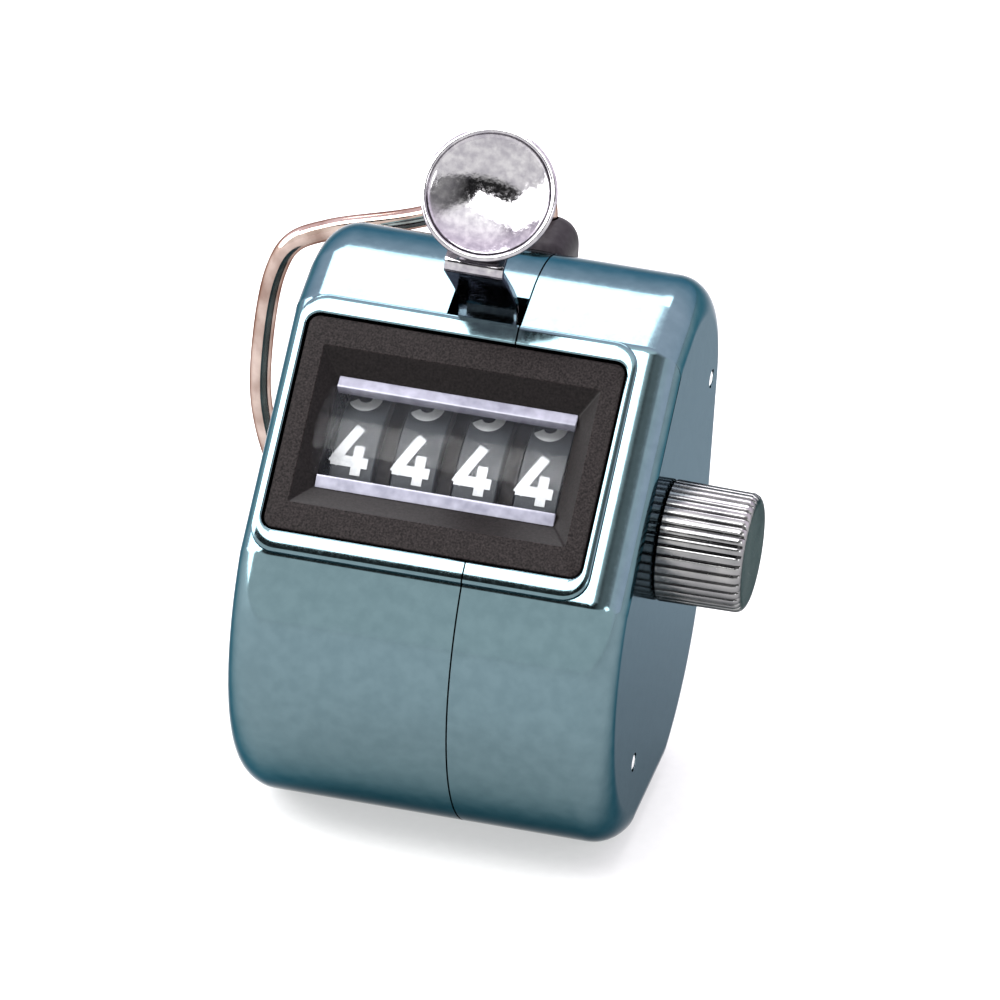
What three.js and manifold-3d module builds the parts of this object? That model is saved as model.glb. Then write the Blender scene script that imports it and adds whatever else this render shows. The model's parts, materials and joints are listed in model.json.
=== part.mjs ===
// Four-digit hand tally counter: a plated two-shell case, a window over four number wheels, a thumb lever
// that drives them through a pawl and ratchet, a reset knob on the wheel shaft, and a folding finger ring.
// Millimetres. +X points to the knob, -Y to the front (the window), +Z up. The origin is the centre of the
// flat base. Inside, the model is laid out from the axis of the case's drum, drumHeight above the base.
import * as THREE from "three";
import { mergeVertices } from "three/addons/utils/BufferGeometryUtils.js";
import Module from "manifold-3d";

const wasm = await Module();
wasm.setup();

// ---- driving dimensions ----
const drumHeight = 20.9; // base flat to the drum's axis
const drumRadius = 22;
const caseHalfWidth = 19;
const caseFillet = 3.5;
const wall = 0.9; // thickness of the pressed shells
const seamX = 3.3;
const gap = 0.3; // kept between pieces that touch
const cornerRadius = 13.8; // top rear corner of the case
const cornerSpan = 1.75; // how far round that corner goes before the top slopes down to the window
const cornerCentre = [9, 17.2]; // y, z

const slope = (41.5 * Math.PI) / 180; // how far the window face is from level
const rimCorner = 2.5;
const rimFace = 21.7; // distance of the rim's face from the drum's axis
const facetLevel = 21.1; // the same for the face the rim stands on, at the bottom
const rimSize = [33.2, 26.4]; // along X, up the slope
const rimCentre = [-1.25, 6.9]; // X, up the slope
const bezelSize = [31.1, 21.8];
const bezelCentre = [-1.25, 6.95];
const bezelThickness = 1.6;
const bezelDrop = 0.2; // the bezel's face lies this far below the rim's
const openingSize = [27.1, 16]; // the recess at the bezel's face
const throatSize = [23.45, 11.1]; // the recess at its bottom
const recessDepth = 1.7;
const tunnelDepth = 3.9; // how far the bezel reaches in below its face
const lensRadius = 18.4;
const lensApex = 20.7; // distance of the lens's outside from the drum's axis
const lensThickness = 0.8;

const wheelAxis = [0.2, 9]; // y, z of the wheel shaft
const wheelRadius = 11.4;
const wheelPitch = 6.06;
const digitBand = 4.2; // width of the band that carries the digits
const unitsX = 7.9;
const wheelNames = ["units", "tens", "hundreds", "thousands"];
const gearRadius = 10.2;
const gearTeeth = 20;
const gearWidth = 1.4;
const gearToothHeight = 0.8;
const shaftRadius = 1.25;
const shaftEnd = 0.8; // how far shafts and pins reach past the side plates' centres
const shaftInKnob = 6;
const runningGap = 0.25; // radial clearance of what turns on a shaft

const pinionTeeth = 8;
const pinionRadius = 2.5;
const pinionRoot = 1.5;
const pinionWidth = 0.6;
const pinionHub = [1.4, 4]; // radius, length
const pinionShaftRadius = 0.7;
const pinionAngle = -Math.PI / 3; // seen along X, from +Y
const pinionDistance = gearRadius + pinionRadius + gap;

const ratchetRadius = 3.8;
const ratchetTeeth = 10;
const ratchetX = 10.95;
const ratchetWidth = 1.1;
const ratchetToothHeight = 1;

const plateX = [-15.4, 12.9]; // the frame's side plates, centres
const plateThickness = 0.8;
const pillarRadius = 1.2;
const screwHead = { radius: 1.9, from: 0.9, to: 1.6 }; // from and to are past a side plate's centre

const leverX = -0.2; // centre of the lever's neck
const neckWidth = 5.7;
const sheet = 0.8;
const slotMargin = 0.9; // how much wider the slot is than the neck, on the left
const slotY = [0.1, 4.6];
const slotZ = [26, 34]; // from inside the case to above its top
const leverPivot = [1.9, 25]; // y, z
const pivotRadius = 0.9;
const earRadius = 2;
const pawlPinRadius = 0.6;
const pawlWidth = 0.9;
const pawlPivot = [10.2, 22.8];
const pawlTip = [5.3, 11.4];
const buttonCentre = [-1, 43.75];
const buttonShift = 0.3; // the button's centre is this far right of the neck's
const buttonRadius = 6.6;
const buttonTilt = (42 * Math.PI) / 180; // how far its face points up from level

const knobRadius = 5.9;
const knobLength = 8.2;
const knobRidges = 36;
const knurlDepth = 0.3;
const ringWire = 1.05; // radius of the ring's wire
const ringPivot = [0.2, 24.2]; // x, y of the ring's upright axis
const casePins = { upper: [16.9, 17.7], lower: [-8.7, -10.8] };
const casePinRadius = 0.8;
const knobBushRadius = 2.2;

// ---- colours ----
const finish = (color, roughness, metalness) =>
  new THREE.MeshStandardMaterial({ color, roughness, metalness });
const chrome = finish(0x9fb8c0, 0.12, 1);
const steel = finish(0xb8b8b6, 0.3, 1);
const brass = finish(0xb08d4a, 0.3, 1);
const blackPlastic = finish(0x3a3636, 0.5, 0);
const clearPlastic = finish(0xb4b8c8, 0.1, 0);
const wheelPlastic = finish(0x4c4d54, 0.45, 0);
const knobMetal = finish(0xa6a4a4, 0.25, 1);

// ---- shapes ----

// Maps a shape's own x, y and extrusion depth to the object's y, z and x.
const acrossX = new THREE.Matrix4().makeBasis(
  new THREE.Vector3(0, 1, 0),
  new THREE.Vector3(0, 0, 1),
  new THREE.Vector3(1, 0, 0),
);
// Maps them to x, up the slope of the window face, and out of that face.
const ontoWindow = new THREE.Matrix4().makeRotationX(slope);

function polar(centre, radius, angle) {
  return [centre[0] + radius * Math.cos(angle), centre[1] + radius * Math.sin(angle)];
}

function arc(centre, radius, from, to, steps) {
  return Array.from({ length: steps + 1 }, (_, i) =>
    polar(centre, radius, from + ((to - from) * i) / steps));
}

function shapeOf(points) {
  return new THREE.Shape(points.map(([x, y]) => new THREE.Vector2(x, y)));
}

// Moves each side of a convex outline, listed counterclockwise, inwards by a distance.
function inset(points, distance) {
  return points.map((p, i) => {
    const before = points.at(i - 1);
    const after = points[(i + 1) % points.length];
    const a = Math.atan2(p[1] - before[1], p[0] - before[0]);
    const b = Math.atan2(after[1] - p[1], after[0] - p[0]);
    const turn = Math.atan2(Math.sin(b - a), Math.cos(b - a));
    const reach = distance / Math.cos(turn / 2);
    const inward = a + turn / 2 + Math.PI / 2;
    return [p[0] + reach * Math.cos(inward), p[1] + reach * Math.sin(inward)];
  });
}

// A shape in the y-z plane, extruded from x = from to x = to, with rounded edges if bevel is given.
function prismX(points, from, to, bevel = 0, steps = 4) {
  const g = new THREE.ExtrudeGeometry(shapeOf(points), {
    depth: to - from - 2 * bevel,
    bevelEnabled: bevel > 0,
    bevelThickness: bevel,
    bevelSize: bevel,
    bevelOffset: -bevel,
    bevelSegments: steps,
    curveSegments: 1,
  });
  return g.translate(0, 0, from + bevel).applyMatrix4(acrossX);
}

function rodX(centre, radius, from, to, sides = 20) {
  return prismX(arc(centre, radius, 0, 2 * Math.PI, sides).slice(0, -1), from, to);
}

function boxBetween(low, high) {
  const size = high.map((v, i) => v - low[i]);
  return new THREE.BoxGeometry(...size).translate(...low.map((v, i) => v + size[i] / 2));
}

// A rectangle with round corners, as a list of points.
function roundedRectangle([width, height], [cx, cy], radius, steps = 4) {
  const [w, h] = [width / 2 - radius, height / 2 - radius];
  const corners = [[w, h], [-w, h], [-w, -h], [w, -h]];
  return corners.flatMap(([x, y], i) =>
    arc([cx + x, cy + y], radius, (i * Math.PI) / 2, ((i + 1) * Math.PI) / 2, steps),
  );
}

// A block standing on the window face, between two distances from the drum's axis.
function windowBlock(size, centre, radius, from, to) {
  const g = new THREE.ExtrudeGeometry(shapeOf(roundedRectangle(size, centre, radius)), {
    depth: to - from,
    bevelEnabled: false,
  });
  return g.translate(0, 0, from).applyMatrix4(ontoWindow);
}

// A straight-sided funnel with a rectangular mouth at one level (distance from the drum's axis) and a
// throat at a lower one. It runs on past both levels, so that it cuts right through.
function windowFunnel(mouth, throat, centre, from, to) {
  const past = 0.5;
  const g = new THREE.BoxGeometry(1, 1, 1);
  const p = g.getAttribute("position");
  for (let i = 0; i < p.count; i++) {
    const level = p.getZ(i) > 0 ? to + past : from - past;
    const share = (level - from) / (to - from);
    const size = mouth.map((m, k) => throat[k] + share * (m - throat[k]));
    p.setXYZ(i, centre[0] + p.getX(i) * size[0], centre[1] + p.getY(i) * size[1], level);
  }
  return g.applyMatrix4(ontoWindow);
}

function solid(geometry) {
  const bare = geometry.index ? geometry.toNonIndexed() : geometry.clone();
  bare.deleteAttribute("normal");
  bare.deleteAttribute("uv");
  const merged = mergeVertices(bare, 1e-4);
  return new wasm.Manifold(
    new wasm.Mesh({
      numProp: 3,
      vertProperties: merged.getAttribute("position").array,
      triVerts: new Uint32Array(merged.index.array),
    }),
  );
}

function geometryOf(manifold) {
  const m = manifold.getMesh();
  const g = new THREE.BufferGeometry();
  g.setAttribute("position", new THREE.BufferAttribute(m.vertProperties, 3));
  g.setIndex(new THREE.BufferAttribute(m.triVerts, 1));
  g.computeVertexNormals();
  return g;
}

const join = (...parts) => geometryOf(parts.map(solid).reduce((a, b) => a.add(b)));
const cut = (body, ...tools) =>
  geometryOf(tools.map(solid).reduce((a, b) => a.subtract(b), solid(body)));

const counter = new THREE.Group();
const drum = new THREE.Group();
drum.position.z = drumHeight;
counter.add(drum);

function piece(name, geometry, material) {
  const mesh = new THREE.Mesh(geometry, material);
  mesh.name = name;
  drum.add(mesh);
}

// ---- the case ----

// The side view of the case: a drum with a flat base, a round top rear corner and a sloping window face.
function caseOutline() {
  const baseAngle = -Math.asin(drumHeight / drumRadius);
  const windowFoot = Math.PI / 2 + slope + Math.acos(facetLevel / drumRadius);
  const [up, out] = [rimCentre[1] + rimSize[1] / 2 - gap, rimFace - gap];
  const [c, s] = [Math.cos(slope), Math.sin(slope)];
  const windowHead = [up * c - out * s, up * s + out * c];
  return [
    ...arc([0, 0], drumRadius, baseAngle, 0, 8),
    ...arc(cornerCentre, cornerRadius, 0, cornerSpan, 9),
    windowHead,
    ...arc([0, 0], drumRadius, windowFoot, Math.PI - baseAngle, 10),
  ];
}

function caseShells() {
  const outline = caseOutline();
  const outside = prismX(outline, -caseHalfWidth, caseHalfWidth, caseFillet);
  const rim = windowBlock(rimSize, rimCentre, rimCorner, facetLevel - 2, rimFace);
  const inner = caseHalfWidth - wall;
  const inside = prismX(inset(outline, wall), -inner, inner, caseFillet - wall);
  const windowHole = windowBlock(
    bezelSize.map((v) => v + 2 * gap), bezelCentre, 1.5, facetLevel - 4, rimFace + 1);
  const slotLeft = leverX - neckWidth / 2 - slotMargin;
  const slot = boxBetween([slotLeft, slotY[0], slotZ[0]], [seamX, slotY[1], slotZ[1]]);
  const shaftHole = rodX(wheelAxis, knobBushRadius + gap + 0.1, caseHalfWidth - 2, caseHalfWidth + 1);
  const pinHoles = Object.values(casePins).map((at) =>
    rodX(at, casePinRadius + gap, -caseHalfWidth - 1, caseHalfWidth + 1, 10));
  const hollow = cut(join(outside, rim), inside, windowHole, slot, shaftHole, ...pinHoles);
  const far = 60;
  const seamHalf = 0.05;
  piece("left_shell", cut(hollow, boxBetween([seamX - seamHalf, -far, -far], [far, far, far])), chrome);
  piece("right_shell", cut(hollow, boxBetween([-far, -far, -far], [seamX + seamHalf, far, far])), chrome);
  for (const [name, at] of Object.entries(casePins))
    piece("case_pin_" + name, rodX(at, casePinRadius, -caseHalfWidth, caseHalfWidth, 10), steel);
}

// ---- the window ----

function windowParts() {
  const face = rimFace - bezelDrop;
  const back = face - bezelThickness;
  const throat = face - recessDepth;
  const bottom = face - tunnelDepth;
  const plate = windowBlock(bezelSize, bezelCentre, 1.2, back, face);
  const tunnel = windowBlock(openingSize, bezelCentre, 0.8, bottom, back + 0.5);
  const recess = windowFunnel(openingSize, throatSize, bezelCentre, throat, face);
  const well = windowBlock(throatSize, bezelCentre, 0.3, bottom - 1, throat + 0.1);
  piece("window_bezel", cut(join(plate, tunnel), recess, well), blackPlastic);

  // the lens is a strip of clear plastic, bent along its length and held in the bezel's well
  const half = throatSize.map((v) => v / 2 - gap);
  const spread = Math.asin(half[1] / lensRadius);
  const middle = Math.PI / 2 + slope;
  const centre = [
    bezelCentre[1] * Math.cos(slope) - (lensApex - lensRadius) * Math.sin(slope),
    bezelCentre[1] * Math.sin(slope) + (lensApex - lensRadius) * Math.cos(slope),
  ];
  const outline = [
    ...arc(centre, lensRadius, middle - spread, middle + spread, 12),
    ...arc(centre, lensRadius - lensThickness, middle + spread, middle - spread, 12),
  ];
  piece("window_lens", prismX(outline, bezelCentre[0] - half[0], bezelCentre[0] + half[0]), clearPlastic);
}

// ---- the counting train ----

// A toothed outline: a circle whose radius steps between root and tip.
function gearOutline(centre, tip, root, teeth, phase = 0) {
  const points = [];
  for (let i = 0; i < teeth; i++) {
    const a = phase + (2 * Math.PI * i) / teeth;
    const step = (2 * Math.PI) / teeth;
    points.push(...arc(centre, root, a - 0.45 * step, a - 0.25 * step, 1));
    points.push(...arc(centre, tip, a - 0.12 * step, a + 0.12 * step, 1));
    points.push(...arc(centre, root, a + 0.25 * step, a + 0.45 * step, 1));
  }
  return points;
}

function numberWheels() {
  wheelNames.forEach((name, i) => {
    const x = unitsX - i * wheelPitch;
    const band = rodX(wheelAxis, wheelRadius, x - digitBand / 2, x + digitBand / 2, 40);
    const gear = prismX(
      gearOutline(wheelAxis, gearRadius, gearRadius - gearToothHeight, gearTeeth),
      x + digitBand / 2 - 0.2, x + digitBand / 2 + gearWidth);
    const bore = rodX(wheelAxis, shaftRadius + runningGap, x - 5, x + 5, 20);
    piece("number_wheel_" + name, cut(i === 0 ? band : join(band, gear), bore), wheelPlastic);
  });
  piece("wheel_shaft", rodX(wheelAxis, shaftRadius, plateX[0] - shaftEnd, caseHalfWidth + shaftInKnob), steel);
}

function transferPinions() {
  const at = [
    wheelAxis[0] + pinionDistance * Math.cos(pinionAngle),
    wheelAxis[1] + pinionDistance * Math.sin(pinionAngle),
  ];
  for (let i = 1; i <= 3; i++) {
    const x = unitsX - i * wheelPitch + digitBand / 2 + gearWidth / 2;
    const star = prismX(
      gearOutline(at, pinionRadius, pinionRoot, pinionTeeth), x - pinionWidth / 2, x + pinionWidth / 2);
    const hub = rodX(at, pinionHub[0], x - pinionHub[1] / 2, x + pinionHub[1] / 2, 12);
    const bore = rodX(at, pinionShaftRadius + runningGap, x - pinionHub[1], x + pinionHub[1], 12);
    piece("transfer_pinion_" + i, cut(join(star, hub), bore), brass);
  }
  piece("pinion_shaft", rodX(at, pinionShaftRadius, plateX[0] - shaftEnd, plateX[1] + shaftEnd, 12), steel);
  return at;
}

function ratchet() {
  const step = (2 * Math.PI) / ratchetTeeth;
  const points = [];
  for (let i = 0; i < ratchetTeeth; i++) {
    points.push(polar(wheelAxis, ratchetRadius, i * step));
    points.push(polar(wheelAxis, ratchetRadius - ratchetToothHeight, i * step + 0.06));
  }
  const [from, to] = [ratchetX - ratchetWidth / 2, ratchetX + ratchetWidth / 2];
  piece("ratchet_wheel", cut(
    prismX(points, from, to),
    rodX(wheelAxis, shaftRadius + runningGap, from - 1, to + 1, 20)), brass);

  // a leaf that clicks over the ratchet from the front, fixed to a pad on the right side plate
  const leaf = [[-4.9, 3], [-4.4, 3], [-4.2, 8.6], [-4.5, 9.6], [-4.9, 8.6]];
  piece("click_spring", prismX(leaf, from + 0.1, to - 0.1), steel);
}

// ---- the frame ----

function frame(pinionAt) {
  const pillars = { front: [-9.5, -5], rear: [11.2, 0.3] };
  const outline = [
    [-11.5, -7.5], [-2, -9.5], [11, -5], [14, 3], [11.5, 15], [4.5, 27.3], [1, 27.3], [0.8, 20.5], [-9, 8],
  ];
  const holes = [
    [wheelAxis, shaftRadius + gap], [pinionAt, pinionShaftRadius + gap], [leverPivot, pivotRadius + gap],
    [pillars.front, pillarRadius + gap], [pillars.rear, pillarRadius + gap],
  ];
  ["left", "right"].forEach((side, i) => {
    const [from, to] = [plateX[i] - plateThickness / 2, plateX[i] + plateThickness / 2];
    const tools = holes.map(([at, r]) => rodX(at, r, from - 1, to + 1, 16));
    piece("frame_plate_" + side, cut(prismX(outline, from, to), ...tools), steel);
  });
  for (const [name, at] of Object.entries(pillars)) {
    const { radius, from, to } = screwHead;
    const reach = from - gap;
    piece("frame_pillar_" + name, rodX(at, pillarRadius, plateX[0] - reach, plateX[1] + reach, 12), steel);
    piece("frame_screw_left_" + name, rodX(at, radius, plateX[0] - to, plateX[0] - from, 12), steel);
    piece("frame_screw_right_" + name, rodX(at, radius, plateX[1] + from, plateX[1] + to, 12), steel);
  }
}

// ---- the thumb lever ----

// A strip of sheet along a line of points in the y-z plane, between two x positions.
function strip(points, thickness, from, to) {
  const side = (sign) => points.map((p, i) => {
    const before = points[Math.max(i - 1, 0)];
    const after = points[Math.min(i + 1, points.length - 1)];
    const a = Math.atan2(after[1] - before[1], after[0] - before[0]) + (sign * Math.PI) / 2;
    return [p[0] + (thickness / 2) * Math.cos(a), p[1] + (thickness / 2) * Math.sin(a)];
  });
  return prismX([...side(-1), ...side(1).reverse()], from, to);
}

function thumbLever() {
  const left = leverX - neckWidth / 2;
  const right = leverX + neckWidth / 2;
  const armEnd = ratchetX - 1.3;
  const neck = strip(
    [[1.9, 26.9], [2.4, 29.2], [1.9, 31], [-4.5, 37.3], [-5.2, 38.2], [-4, 38.9], [-2.8, 39.5]],
    sheet, left, right);
  const arm = strip([[1.2, 27.2], [5, 26.6], [10.4, 23.6]], sheet, left, right);
  const wing = strip([[7.6, 25.2], [10.4, 23.6]], sheet, left, armEnd);
  const ear = (x) => join(rodX(leverPivot, earRadius, x, x + sheet, 16),
    boxBetween([x, leverPivot[0] - 1.2, leverPivot[1]], [x + sheet, leverPivot[0] + 1.2, 27.2]));
  const pawlEar = rodX(pawlPivot, 1.5, armEnd - sheet, armEnd, 16);
  const pivotBore = rodX(leverPivot, pivotRadius + runningGap, left - 1, right + 1, 16);
  const pawlBore = rodX(pawlPivot, pawlPinRadius + gap, armEnd - 2, armEnd + 1, 12);
  piece("thumb_lever",
    cut(join(neck, arm, wing, ear(left), ear(right - sheet), pawlEar), pivotBore, pawlBore), chrome);
  piece("lever_pivot_pin", rodX(leverPivot, pivotRadius, plateX[0] - shaftEnd, plateX[1] + shaftEnd, 16), steel);
  piece("pawl_pin", rodX(pawlPivot, pawlPinRadius, armEnd - 1.3, ratchetX + 1.1, 12), steel);

  const pawlFrom = ratchetX - pawlWidth / 2;
  const pawlTo = pawlFrom + pawlWidth;
  const blade = [
    [pawlPivot[0] + 0.9, pawlPivot[1]], [pawlPivot[0] - 0.9, pawlPivot[1]],
    [pawlTip[0] - 0.3, pawlTip[1]], [pawlTip[0] + 0.9, pawlTip[1] + 0.4],
  ];
  piece("drive_pawl", cut(
    join(prismX(blade, pawlFrom, pawlTo), rodX(pawlPivot, 1.3, pawlFrom, pawlTo, 16)),
    rodX(pawlPivot, pawlPinRadius + runningGap, pawlFrom - 1, pawlTo + 1, 12)), brass);

  // the return spring is a coil round the pivot pin, drawn as its outer sleeve
  const coilFrom = right + 2 * gap;
  const coilLength = 3.4;
  piece("lever_return_spring", cut(
    rodX(leverPivot, 1.9, coilFrom, coilFrom + coilLength, 16),
    rodX(leverPivot, pivotRadius + gap, coilFrom - 1, coilFrom + coilLength + 1, 16)), steel);

  // the button is a dished cup with a rolled edge; its lathe axis is turned to face forwards and up
  const r = buttonRadius;
  const dish = [[0, -0.3], [2.5, -0.1], [4.6, 0.5], [5.7, 1.2], [6.1, 1.35], [r, 1.1], [r, 0.5], [5.2, -0.5],
    [3, -1.15], [0, -1.3]];
  const cup = new THREE.LatheGeometry(dish.map(([x, y]) => new THREE.Vector2(x, y)).reverse(), 32);
  cup.rotateX(Math.PI - buttonTilt).translate(leverX + buttonShift, ...buttonCentre);
  piece("thumb_button", cup, chrome);
}

// ---- the reset knob ----

function resetKnob() {
  const from = caseHalfWidth + gap;
  const body = prismX(
    gearOutline(wheelAxis, knobRadius, knobRadius - knurlDepth, knobRidges), from, from + knobLength - 0.8);
  const cap = rodX(wheelAxis, knobRadius - 0.7, from + 1, from + knobLength, 36);
  const bore = rodX(wheelAxis, shaftRadius + gap, from - 1, from + 7, 20);
  piece("reset_knob", cut(join(body, cap), bore), knobMetal);
  piece("knob_bush", cut(
    rodX(wheelAxis, knobBushRadius, caseHalfWidth - 2.4, caseHalfWidth + 0.2, 20),
    rodX(wheelAxis, shaftRadius + runningGap, 0, caseHalfWidth + 3, 20)), brass);
}

// ---- the finger ring ----

function fingerRing() {
  const [px, py] = ringPivot;
  // the wire's line in the plane behind the case: x, z
  const line = [
    [px, 22.5], [px, 29.4], [px - 0.5, 30.5], [px - 1.8, 30.8], [-12.7, 25.8], [-21.3, 22.9], [-24.7, 20.9],
    [-26.3, 17.5], [-27.3, 8.7], [-27, 2], [-24.9, -4.5], [-20.8, -10], [-14.8, -13.6], [-7, -15],
    [px - 2, -15], [px - 0.5, -14.6], [px, -13.4], [px, -9.5],
  ];
  const path = new THREE.CatmullRomCurve3(
    line.map(([x, z]) => new THREE.Vector3(x, py, z)), false, "centripetal");
  const section = shapeOf(arc([0, 0], ringWire, 0, 2 * Math.PI, 8).slice(0, -1));
  const wire = new THREE.ExtrudeGeometry(section, { steps: 60, extrudePath: path, bevelEnabled: false });
  piece("finger_ring", wire, steel);

  const bore = (low, high) => boxBetween(
    [px - ringWire - gap, py - ringWire - gap, low], [px + ringWire + gap, py + ringWire + gap, high]);
  const lugX = [-4.8, 3.7];
  const clear = gap + 0.05;
  const body = prismX(inset(caseOutline(), -clear), -10, 10);
  const upper = prismX([[17, 28.5], [17, 20.2], [26.2, 20.2], [26.2, 26.6], [24.6, 28.5]], ...lugX);
  piece("ring_lug_upper", cut(upper, body, bore(21.8, 31)), blackPlastic);
  const lower = prismX([[17, -5.5], [17, -12.6], [26.2, -12.6], [26.2, -5.5]], ...lugX);
  piece("ring_lug_lower", cut(lower, body, bore(-14, -8.9)), blackPlastic);
}

caseShells();
windowParts();
numberWheels();
ratchet();
frame(transferPinions());
thumbLever();
resetKnob();
fingerRing();

export default counter;
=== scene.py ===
"""Hand tally counter: the looks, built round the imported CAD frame. Lengths are in metres."""
import json
import math

import bmesh
import bpy
import numpy as np
from mathutils import Matrix, Vector


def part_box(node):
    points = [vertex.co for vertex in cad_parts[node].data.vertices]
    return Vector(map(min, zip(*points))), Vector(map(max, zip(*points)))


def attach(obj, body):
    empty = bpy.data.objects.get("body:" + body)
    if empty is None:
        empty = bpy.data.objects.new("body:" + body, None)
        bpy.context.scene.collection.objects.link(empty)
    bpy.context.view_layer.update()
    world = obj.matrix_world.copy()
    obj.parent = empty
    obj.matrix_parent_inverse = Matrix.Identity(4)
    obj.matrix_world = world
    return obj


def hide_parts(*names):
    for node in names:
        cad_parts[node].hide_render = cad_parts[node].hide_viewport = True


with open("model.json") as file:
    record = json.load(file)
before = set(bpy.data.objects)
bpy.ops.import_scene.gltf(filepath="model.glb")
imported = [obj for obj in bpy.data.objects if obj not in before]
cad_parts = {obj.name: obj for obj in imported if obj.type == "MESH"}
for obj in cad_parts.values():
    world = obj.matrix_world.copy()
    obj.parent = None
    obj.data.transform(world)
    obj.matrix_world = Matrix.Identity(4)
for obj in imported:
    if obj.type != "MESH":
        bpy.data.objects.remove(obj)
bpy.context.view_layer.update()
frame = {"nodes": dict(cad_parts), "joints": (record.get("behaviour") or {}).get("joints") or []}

MM = 0.001
TURN = 2 * math.pi

# ---- places taken from the frame ----
JOINTS = {joint["name"]: joint for joint in frame["joints"]}


def span(node, axis):
    """Lowest and highest coordinate of a CAD node along one axis (0, 1, 2)."""
    low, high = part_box(node)
    return low[axis], high[axis]


CASE_HALF = span("right_shell", 0)[1]
SEAM_X = (span("left_shell", 0)[1] + span("right_shell", 0)[0]) / 2
WHEEL_AXIS = np.array(JOINTS["units_turn"]["pos_m"][1:])
LEVER_PIVOT = np.array(JOINTS["lever_press"]["pos_m"][1:])
PAWL_PIVOT = np.array(JOINTS["pawl_swing"]["pos_m"][1:])
RING_PIVOT = np.array(JOINTS["ring_swing"]["pos_m"][:2])

# ---- driving dimensions, the same as the CAD's ----
DRUM_Z = 20.9 * MM
DRUM_RADIUS = 22 * MM
WALL = 0.9 * MM
CORNER_RADIUS = 13.8 * MM
CORNER_CENTRE = (9 * MM, DRUM_Z + 17.2 * MM)
SLOPE = math.radians(41.5)
RIM_FACE = 21.7 * MM
FACET_LEVEL = 21.1 * MM
RIM_SIZE = (33.2 * MM, 26.4 * MM)
RIM_CENTRE = (-1.25 * MM, 6.9 * MM)
RIM_CORNER = 2.6 * MM
BEZEL_SIZE = (31.1 * MM, 21.8 * MM)
BEZEL_CENTRE = (-1.25 * MM, 6.95 * MM)
OPENING_SIZE = (27.1 * MM, 16 * MM)
THROAT_SIZE = (23.45 * MM, 11.1 * MM)
RECESS_DEPTH = 1.7 * MM
TUNNEL_DEPTH = 3.9 * MM
LENS_RADIUS = 18.4 * MM
LENS_APEX = 20.7 * MM
WHEEL_RADIUS = 11.4 * MM
GEAR_RADIUS = 9.8 * MM
DIGIT_BAND = 4.2 * MM
FACE_ANGLE = math.pi / 2 + SLOPE  # direction of the window's normal in the y-z plane, from +Y


# ---------------------------------------------------------------- helpers


def polar(centre, radius, angle):
    return np.array([centre[0] + radius * math.cos(angle), centre[1] + radius * math.sin(angle)])


def arc(centre, radius, start, end, steps):
    return [polar(centre, radius, start + (end - start) * i / steps) for i in range(steps + 1)]


def from_window(x, up, out):
    """A point given by x, the distance up the window's slope and the distance out from the drum's axis."""
    return np.array([
        x,
        up * math.cos(SLOPE) - out * math.sin(SLOPE),
        DRUM_Z + up * math.sin(SLOPE) + out * math.cos(SLOPE),
    ])


def to_window(point):
    y, z = point[1], point[2] - DRUM_Z
    up = y * math.cos(SLOPE) + z * math.sin(SLOPE)
    out = -y * math.sin(SLOPE) + z * math.cos(SLOPE)
    return up, out


def make_object(name, vertices, faces, material, sharp=30):
    """A mesh object with smooth shading, kept sharp where faces meet at more than the given degrees."""
    mesh = bpy.data.meshes.new(name)
    mesh.from_pydata([tuple(map(float, v)) for v in vertices], [], faces)
    mesh.validate()
    obj = bpy.data.objects.new(name, mesh)
    bpy.context.scene.collection.objects.link(obj)
    clean(obj, sharp)
    if material:
        mesh.materials.append(material)
    return obj


def clean(obj, sharp=30):
    """Merges doubles, turns the faces outwards and sets the shading."""
    b = bmesh.new()
    b.from_mesh(obj.data)
    bmesh.ops.remove_doubles(b, verts=b.verts, dist=1e-7)
    bmesh.ops.recalc_face_normals(b, faces=b.faces)
    b.to_mesh(obj.data)
    b.free()
    for polygon in obj.data.polygons:
        polygon.use_smooth = True
    obj.data.set_sharp_from_angle(angle=math.radians(sharp))


def loft(name, rings, material, closed_ends=True, sharp=30, loop=False):
    """A skin over rings that all have the same number of points."""
    count = len(rings[0])
    vertices = [p for ring in rings for p in ring]
    faces = []
    last = len(rings) if loop else len(rings) - 1
    for i in range(last):
        j = (i + 1) % len(rings)
        for k in range(count):
            m = (k + 1) % count
            faces.append((i * count + k, i * count + m, j * count + m, j * count + k))
    if closed_ends and not loop:
        faces.append(tuple(range(count)))
        faces.append(tuple((len(rings) - 1) * count + k for k in range(count)))
    return make_object(name, vertices, faces, material, sharp)


def lathe_x(name, centre, profile, material, segments=64, sharp=30, loop=False):
    """Turns a profile of (x, radius) pairs about an axis along X through centre (y, z)."""
    rings = []
    for x, radius in profile:
        ring = []
        for k in range(segments):
            y, z = polar(centre, max(radius, 1e-7), TURN * k / segments)
            ring.append((x, y, z))
        rings.append(ring)
    return loft(name, rings, material, sharp=sharp, loop=loop)


def sweep(name, points, radius, material, sides=20, ends=True, flat=None):
    """A round wire (or a flat one: half width, half thickness) along a line of points."""
    points = [np.array(p, float) for p in points]
    rings = []
    normal = None
    for i, p in enumerate(points):
        tangent = points[min(i + 1, len(points) - 1)] - points[max(i - 1, 0)]
        tangent /= np.linalg.norm(tangent)
        if normal is None:
            start = np.array([0.0, 1.0, 0.0]) if abs(tangent[1]) < 0.9 else np.array([1.0, 0.0, 0.0])
            normal = start - tangent * start.dot(tangent)
        normal = normal - tangent * normal.dot(tangent)
        normal /= np.linalg.norm(normal)
        side = np.cross(tangent, normal)
        a, b = flat if flat else (radius, radius)
        rings.append([
            p + a * math.cos(TURN * k / sides) * normal + b * math.sin(TURN * k / sides) * side
            for k in range(sides)
        ])
    if ends:
        rings = rounded_ends(rings, points, radius)
    return loft(name, rings, material, sharp=50)


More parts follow.
